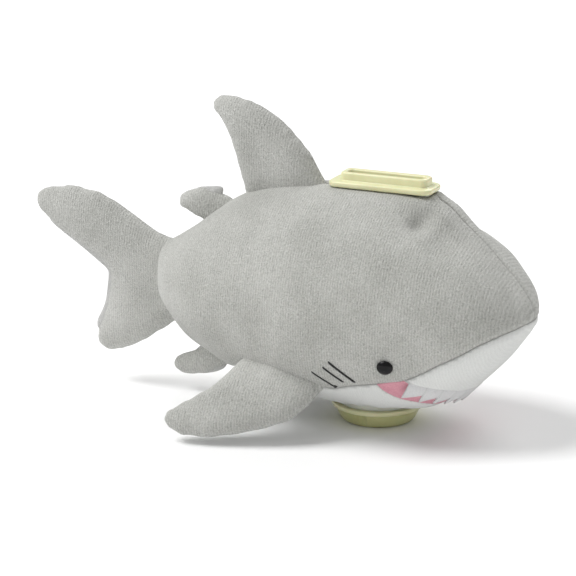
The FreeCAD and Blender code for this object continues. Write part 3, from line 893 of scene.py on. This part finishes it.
def lip_line(surface):
    """Return points and outward normals along the upper lip, right to left."""
    places = []
    for angle in np.radians(np.linspace(-165, -15, 301)):
        xs = np.linspace(28, 60, 400)
        above = surface.point(xs, np.full(400, angle))[:, 2] - smooth_line(UPPER_LIP, xs)
        change = np.flatnonzero((above[:-1] < 0) != (above[1:] < 0))
        if len(change) and xs[change[-1]] > TOOTH_REAR_X:
            places.append((xs[change[-1]], angle))
    x, angle = np.array(places).T
    return surface.point(x, angle), surface.normal(x, angle)


def make_teeth(surface, tree):
    """Hang the sawtooth felt strip from the upper lip."""
    lip, lip_normals = lip_line(surface)
    length = np.concatenate([[0], np.cumsum(np.linalg.norm(np.diff(lip, axis=0), axis=1))])
    per_tooth = 10
    at = np.linspace(0, length[-1], TEETH * per_tooth + 1)
    roots = np.stack([np.interp(at, length, lip[:, k]) for k in range(3)], -1)
    normals = np.stack([np.interp(at, length, lip_normals[:, k]) for k in range(3)], -1)
    for field in (roots, normals):
        for k in range(3):
            padded = np.pad(field[:, k], 6, mode="reflect", reflect_type="odd")
            field[:, k] = np.convolve(padded, np.ones(13) / 13, mode="valid")
    run = np.gradient(roots, axis=0)
    run /= np.linalg.norm(run, axis=1, keepdims=True)
    normals /= np.linalg.norm(normals, axis=1, keepdims=True)
    for i, (root, normal) in enumerate(zip(roots, normals)):
        hit = tree.ray_cast(Vector(root + normal * 8), Vector(-normal), 16)[0]
        roots[i] = root if hit is None else root + normal * max((np.array(hit) - root) @ normal, -0.5)
    down = np.cross(normals, run)
    down *= np.sign(-down[:, 2:3])
    down /= np.linalg.norm(down, axis=1, keepdims=True)
    rows = 9
    points, faces = [], []
    half = len(at) // 2
    for tooth in range(TEETH):
        first = tooth * per_tooth
        start = len(points)
        for step in range(per_tooth + 1):
            i = first + step
            share = step / per_tooth if i <= half and tooth < TEETH // 2 else 1 - step / per_tooth
            depth = TOOTH_DEPTH + (TOOTH_BAND - TOOTH_DEPTH) * share
            for row in range(rows):
                d = -TOOTH_TUCK + (depth + TOOTH_TUCK) * row / (rows - 1)
                tucked = max(-d, 0) / TOOTH_TUCK
                stand = 0.7 - 2.3 * tucked + 0.17 * max(d, 0)
                points.append(roots[i] + down[i] * d + normals[i] * stand)
        for step in range(per_tooth):
            for row in range(rows - 1):
                a = start + step * rows + row
                faces.append((a, a + rows, a + rows + 1, a + 1))
    teeth = mesh_object("felt_teeth", points, faces, smooth=False)
    mesh = bmesh.new()
    mesh.from_mesh(teeth.data)
    bmesh.ops.remove_doubles(mesh, verts=mesh.verts, dist=0.05 * MM)
    mesh.to_mesh(teeth.data)
    mesh.free()
    thicken(teeth, 0.9, 0.0)
    teeth.data.materials.append(TOOTH_FELT)
    piece(teeth, "body", "white_felt", "upper_teeth")


def lathe(name, profile, segments=64, origin=(0, 0, 0), axis=(0, 0, 1), shape=None):
    """Return a solid turned from (radius, height) points about an axis."""
    turn = np.linspace(0, 2 * math.pi, segments, endpoint=False)
    points, faces = [], []
    for r, h in profile:
        ring = np.stack([r * np.cos(turn), r * np.sin(turn), np.full(segments, float(h))], -1)
        points.extend(ring if shape is None else shape(ring))
    for i in range(len(profile) - 1):
        for j in range(segments):
            k = (j + 1) % segments
            a, b = i * segments, (i + 1) * segments
            faces.append((a + j, a + k, b + k, b + j))
    turned = Vector((0, 0, 1)).rotation_difference(Vector(axis)).to_matrix()
    points = np.array(points) @ np.array(turned).T + np.array(origin)
    return mesh_object(name, points, faces)


def make_eyes(tree):
    """Set the glossy domed eyes on the skin, each with its post."""
    for side in ("right", "left"):
        eye = points_of(frame["nodes"][f"eye_{side}"])
        washer = points_of(frame["nodes"][f"eye_washer_{side}"])
        middle = (washer.min(0) + washer.max(0)) / 2
        axis = (eye.min(0) + eye.max(0)) / 2 - middle
        heights = (eye - middle) @ (axis / np.linalg.norm(axis))
        tip = eye[np.argsort(heights)[-12:]].mean(0)
        axis = tip - middle
        axis /= np.linalg.norm(axis)
        hit = tree.ray_cast(Vector(tip + axis * 20), Vector(-axis), 60)
        base = np.array(hit[0]) - axis * 0.35
        profile = [(0.01, -6.0), (1.3, -6.0), (1.3, 0.0), (3.6, -0.1), (3.95, 0.25)]
        dome = np.linspace(0.08, math.pi / 2 - 0.01, 14)
        profile += [(4.0 * math.cos(a), 0.5 + 2.75 * math.sin(a)) for a in dome]
        obj = lathe(f"eye_dome_{side}", profile, 48, base, axis)
        obj.data.materials.append(BLACK)
        piece(obj, "body", "black_plastic", f"eye_{side}")


def tube_along(name, path, radii, sides=8):
    """Return a closed tube through the points, with a radius at each."""
    path = np.array(path)
    run = np.gradient(path, axis=0)
    run /= np.linalg.norm(run, axis=1, keepdims=True)
    points, faces = [], []
    across = np.cross(run[0], (0.3, 0.9, 0.2))
    for p, direction, r in zip(path, run, radii):
        across -= direction * (across @ direction)
        across /= np.linalg.norm(across)
        other = np.cross(direction, across)
        for j in range(sides):
            turn = 2 * math.pi * j / sides
            points.append(p + r * (across * math.cos(turn) + other * math.sin(turn)))
    for i in range(len(path) - 1):
        for j in range(sides):
            k = (j + 1) % sides
            faces.append((i * sides + j, i * sides + k, (i + 1) * sides + k, (i + 1) * sides + j))
    faces.append(tuple(reversed(range(sides))))
    faces.append(tuple((len(path) - 1) * sides + j for j in range(sides)))
    return mesh_object(name, points, faces)


def joined(name, parts):
    """Join objects into one."""
    corners, faces = [], []
    for part in parts:
        start = len(corners)
        corners.extend(points_of(part))
        faces.extend([start + i for i in polygon.vertices] for polygon in part.data.polygons)
        bpy.data.objects.remove(part)
    return mesh_object(name, corners, faces)


def make_gills(tree):
    """Sew the three gill stitches on each side, thread over the pile, ending in a knot."""
    for side, sign in (("right", -1), ("left", 1)):
        threads = []
        for number, ((x0, z0), (x1, z1), r) in enumerate(GILLS):
            path, radii = [], []
            for t in np.linspace(0, 1, 30):
                x, z = x0 + (x1 - x0) * t, z0 + (z1 - z0) * t
                hit = tree.ray_cast(Vector((x, sign * 120, z)), Vector((0, -sign, 0)), 120)
                normal = np.array(hit[1]) * (1 if hit[1].y * sign > 0 else -1)
                ends = min(t, 1 - t)
                sunk = 1.6 * bump(ends, 0.05)
                path.append(np.array(hit[0]) + normal * (r * 0.45 - sunk))
                radii.append(r * (1 + 0.08 * math.sin(t * 60 + number)))
            threads.append(tube_along("thread", path, radii))
            if number == len(GILLS) - 1:
                knot = np.array(path[-2])
                outline = [(1.15 * math.cos(a), 1.0 * math.sin(a)) for a in np.linspace(-1.5, 1.56, 9)]
                threads.append(lathe("knot", outline, 12, knot + (0, sign * 0.9, 0), (0, sign, 0)))
        stitches = joined(f"gill_thread_{side}", threads)
        stitches.data.materials.append(THREAD)
        piece(stitches, "body", "black_thread", f"gill_stitches_{side}")


# --- Plastic parts ------------------------------------------------------------------------
def rounded_ring(half_x, half_y, corner, z, centre_x=3.2, count=12):
    """Return a level rounded-rectangle ring of points over the coin chute."""
    corner = min(corner, half_x - 0.01, half_y - 0.01)
    ring = []
    for quarter, (sx, sy) in enumerate(((1, 1), (-1, 1), (-1, -1), (1, -1))):
        for a in np.linspace(0, math.pi / 2, count):
            turn = quarter * math.pi / 2 + a
            ring.append((centre_x + sx * (half_x - corner) + corner * math.cos(turn),
                         sy * (half_y - corner) + corner * math.sin(turn), z))
    return np.array(ring)


def make_plate():
    """Build the slot plate: a rounded tray edge with a raised, hollow rim round the slot."""
    sections = [
        (26.4, 9.2, 4.2, 119.8, 2.2), (27.0, 9.8, 4.8, 120.1, 2.2), (27.2, 10.0, 5.0, 120.7, 2.2),
        (27.2, 10.0, 5.0, 121.9, 2.2), (26.95, 9.75, 4.8, 122.35, 2.2), (26.4, 9.2, 4.2, 122.6, 2.2),
        (23.6, 6.9, 3.6, 122.65), (23.15, 6.2, 3.4, 122.8),
        (23.0, 6.0, 3.3, 123.3), (22.9, 5.9, 3.2, 125.8), (22.6, 5.6, 3.0, 126.5), (22.1, 5.1, 2.7, 126.8),
        (21.0, 3.6, 2.6, 126.8), (20.5, 3.0, 2.5, 126.6), (20.2, 2.7, 2.4, 126.0), (20.0, 2.5, 2.4, 125.0),
        (20.0, 2.5, 2.4, 121.0, 4.0), (23.05, 5.55, 2.5, 121.0, 4.0), (23.05, 5.55, 2.5, 119.8, 4.0),
    ]
    rings = [rounded_ring(*section) for section in sections]
    count = len(rings[0])
    points = np.concatenate(rings)
    faces = []
    total = len(rings)
    for i in range(total):
        for j in range(count):
            k = (j + 1) % count
            a, b = i * count, ((i + 1) % total) * count
            faces.append((a + j, a + k, b + k, b + j))
    plate = mesh_object("moulded_slot_plate", points, faces)
    plate.data.materials.append(YELLOW)
    piece(plate, "body", "yellow_plastic", "slot_plate")


def grip(ring):
    """Return a cap ring with the two grip notches pressed into it."""
    r = np.hypot(ring[:, 0], ring[:, 1])
    if ring[0, 2] < 1.4 or r[0] < 19:
        return ring
    pressed = 1.1 * np.clip((1.9 - np.abs(ring[:, 0])) / 0.5, 0, 1) * (np.abs(ring[:, 1]) > 10)
    return ring * np.stack([(r - pressed) / r, (r - pressed) / r, np.ones(len(r))], -1)


def make_cap():
    """Build the dished screw cap with its threaded boss, and the flange above it."""
    profile = [(0.01, 0.0), (16.8, 0.0), (17.6, 0.12), (18.4, 0.6), (19.2, 1.5), (20.3, 3.6), (21.2, 5.8),
               (21.5, 6.5), (21.5, 6.95), (21.2, 7.2), (16.9, 7.2), (16.9, 14.6), (16.6, 15.0), (15.6, 15.0),
               (15.3, 14.7), (15.3, 2.4), (14.7, 1.8), (0.01, 1.8)]
    parts = [lathe("cap", profile, 180, shape=grip)]
    for start in range(3):
        first = math.radians(120 * start + 25)
        path = []
        for t in np.linspace(0, 1, 16):
            turn = first + math.radians(40) * t
            path.append((17.0 * math.cos(turn), 17.0 * math.sin(turn), 12.83 + 1.33 * t))
        parts.append(tube_along("lug", path, [0.3] + [0.75] * 14 + [0.3], 8))
    cap = joined("moulded_cap", parts)
    cap.data.materials.append(YELLOW_GREEN)
    piece(cap, "cap", "yellow_plastic", "bottom_cap")
    outline = [(20.45, 7.7), (20.7, 7.6), (23.1, 7.6), (23.5, 8.0), (23.5, 9.4), (23.1, 9.8), (20.7, 9.8),
               (20.45, 9.7), (20.45, 7.7)]
    flange = lathe("moulded_flange", outline, 120)
    flange.data.materials.append(YELLOW)
    piece(flange, "body", "yellow_plastic", "base_flange")


def finish_hidden():
    """Give the pieces kept from the CAD model their materials, and replace the stuffing by shrunken wads."""
    plain = {"coin_box_lower": ("box_plastic", BOX_PLASTIC), "coin_box_upper": ("box_plastic", BOX_PLASTIC),
             "cap_seal": ("seal_rubber", SEAL), "eye_washer_left": ("washer_plastic", NATURAL),
             "eye_washer_right": ("washer_plastic", NATURAL)}
    for name, (slot, material) in plain.items():
        node = frame["nodes"][name]
        node.data.materials.clear()
        node.data.materials.append(material)
    for body, nodes in frame["record"]["behaviour"]["bodies"].items():
        for name in nodes:
            if "stuffing" not in name:
                continue
            node = frame["nodes"][name]
            points = points_of(node)
            middle = (points.min(0) + points.max(0)) / 2
            faces = [tuple(p.vertices) for p in node.data.polygons]
            share = 0.9 * np.eye(3)
            if body != "body":
                across = np.linalg.eigh(np.cov(points.T))[1][:, 0]
                share -= 0.4 * np.outer(across, across)
            wad = mesh_object(name + "_fibre", middle + (points - middle) @ share, faces)
            wad.data.materials.append(FILL)
            piece(wad, body, "polyester_fill", name)


def main():
    """Build every visible piece."""
    surface, panels = body_skin()
    tree = tree_of(panels)
    make_fins(tree)
    make_teeth(surface, tree)
    make_eyes(tree)
    make_gills(tree)
    make_plate()
    make_cap()
    finish_hidden()


main()


# --- Stage --------------------------------------------------------------------------------
def sun_light(name, towards, strength, spread):
    """Add an even light from a direction, as soft as a wide studio panel."""
    data = bpy.data.lights.new(name, "SUN")
    data.energy = strength
    data.angle = math.radians(spread)
    obj = bpy.data.objects.new(name, data)
    obj.rotation_euler = Vector(towards).to_track_quat("Z", "Y").to_euler()
    bpy.context.scene.collection.objects.link(obj)


def stage():
    """Add the floor, the lights and the camera."""
    corners = [(-4000, -4000, -0.2), (4000, -4000, -0.2), (4000, 6000, -0.2), (-4000, 6000, -0.2)]
    floor = mesh_object("floor", corners, [(0, 1, 2, 3)])
    shader = Shader("floor", 0.9, Specular_IOR_Level=0.1)
    shader.color(shader.ramp(shader.noise(300), (0.93, 0.93, 0.93), (0.95, 0.95, 0.95)))
    floor.data.materials.append(shader.material)
    world = bpy.data.worlds.new("studio")
    world.use_nodes = True
    world.node_tree.nodes["Background"].inputs["Color"].default_value = (1, 1, 1, 1)
    world.node_tree.nodes["Background"].inputs["Strength"].default_value = 0.45
    bpy.context.scene.world = world
    sun_light("key", (-0.75, -0.25, 1.15), 2.4, 34)
    sun_light("fill", (0.1, 0.9, 0.8), 1.1, 40)
    camera_data = bpy.data.cameras.new("camera")
    camera_data.lens = LENS
    camera_data.sensor_width = 36
    camera_data.clip_start = 0.05
    camera_data.clip_end = 50
    camera = bpy.data.objects.new("camera", camera_data)
    azimuth, elevation = math.radians(VIEW_AZIMUTH), math.radians(VIEW_ELEVATION)
    back = Vector((math.sin(azimuth) * math.cos(elevation), -math.cos(azimuth) * math.cos(elevation),
                   math.sin(elevation)))
    camera.location = (Vector(VIEW_TARGET) + back * VIEW_DISTANCE) * MM
    camera.rotation_euler = (-back).to_track_quat("-Z", "Y").to_euler()
    bpy.context.scene.collection.objects.link(camera)
    bpy.context.scene.camera = camera
    bpy.context.scene.view_settings.view_transform = "Standard"


stage()
